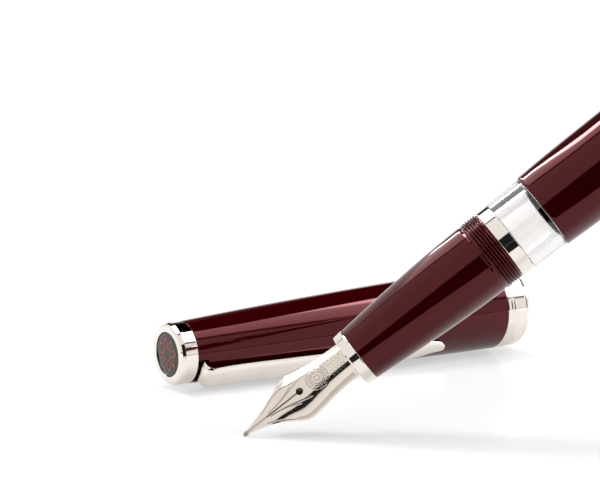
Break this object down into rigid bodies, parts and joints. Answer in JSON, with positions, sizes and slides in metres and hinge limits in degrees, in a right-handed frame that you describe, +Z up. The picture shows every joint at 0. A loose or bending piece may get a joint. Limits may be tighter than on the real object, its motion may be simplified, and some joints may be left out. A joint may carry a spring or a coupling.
{
  "type": "fountain pen",
  "caption": "Piston-filling fountain pen standing on its nib, uncapped, with its screw cap and spring clip lying behind it.",
  "frame": {"origin": "on the table top, under the middle of the box round the pen and its cap", "axes": "+Z up, +X along the lying cap from its finial towards its mouth, the pen stands on the -Y side of the cap"},
  "size_m": [0.094, 0.0922, 0.0808],
  "materials": {
    "burgundy_resin": "polished deep burgundy resin",
    "chrome": "bright polished plating",
    "nib_steel": "polished steel with fine engraved lines",
    "plain_steel": "turned",
    "black_plastic": "satin moulded",
    "black_enamel": null,
    "black_rubber": "matt",
    "grey_plastic": "moulded",
    "clear_resin": "clear polished resin"
  },
  "bodies": {
    "pen": {"nib": "nib_steel", "feed": "black_plastic", "nib_collar": "black_plastic", "section_ring": "chrome", "grip_section": "burgundy_resin", "section_seal": "black_rubber", "barrel_ring": "chrome", "ink_chamber": "clear_resin", "barrel": "burgundy_resin", "tail_ring": "chrome", "piston_guide": "grey_plastic"},
    "knob": {"turning_knob": "burgundy_resin", "knob_end_disc": "chrome", "spindle": "plain_steel", "spindle_collar": "plain_steel"},
    "piston": {"piston_head": "grey_plastic", "piston_seal_front": "black_rubber", "piston_seal_rear": "black_rubber", "piston_rod": "grey_plastic"},
    "cap": {"finial_ring": "chrome", "finial_emblem": "black_enamel", "finial_screw": "plain_steel", "clip_mount_ring": "plain_steel", "cap_barrel": "burgundy_resin", "cap_lip_band": "chrome", "cap_thread_insert": "black_plastic", "cap_inner_liner": "black_plastic"},
    "clip": {"clip": "chrome"}
  },
  "joints": [
    {"name": "knob_turn", "type": "hinge", "parent": "pen", "child": "knob", "pos_m": [0.044, -0.04189, 0.07741], "axis": [0.6961, -0.3717, 0.6143], "range_deg": [0, 1980]},
    {"name": "piston_travel", "type": "slide", "parent": "pen", "child": "piston", "axis": [-0.6961, 0.3717, -0.6143], "range_m": [0, 0.024]},
    {"name": "cap_lift", "type": "slide", "parent": "pen", "child": "cap", "axis": [0, 0, 1], "range_m": [0, 0.04]},
    {"name": "clip_flex", "type": "hinge", "parent": "cap", "child": "clip", "pos_m": [-0.03623, 0.03529, 0.00324], "axis": [0.022, 0.5446, -0.8384], "range_deg": [0, 3], "stiffness_Nm_per_rad": 0.1, "springref_deg": -1.72}
  ],
  "couplings": [
    {"joint": "knob_turn", "follows": "piston_travel", "rad_per_m": 1439.9}
  ]
}
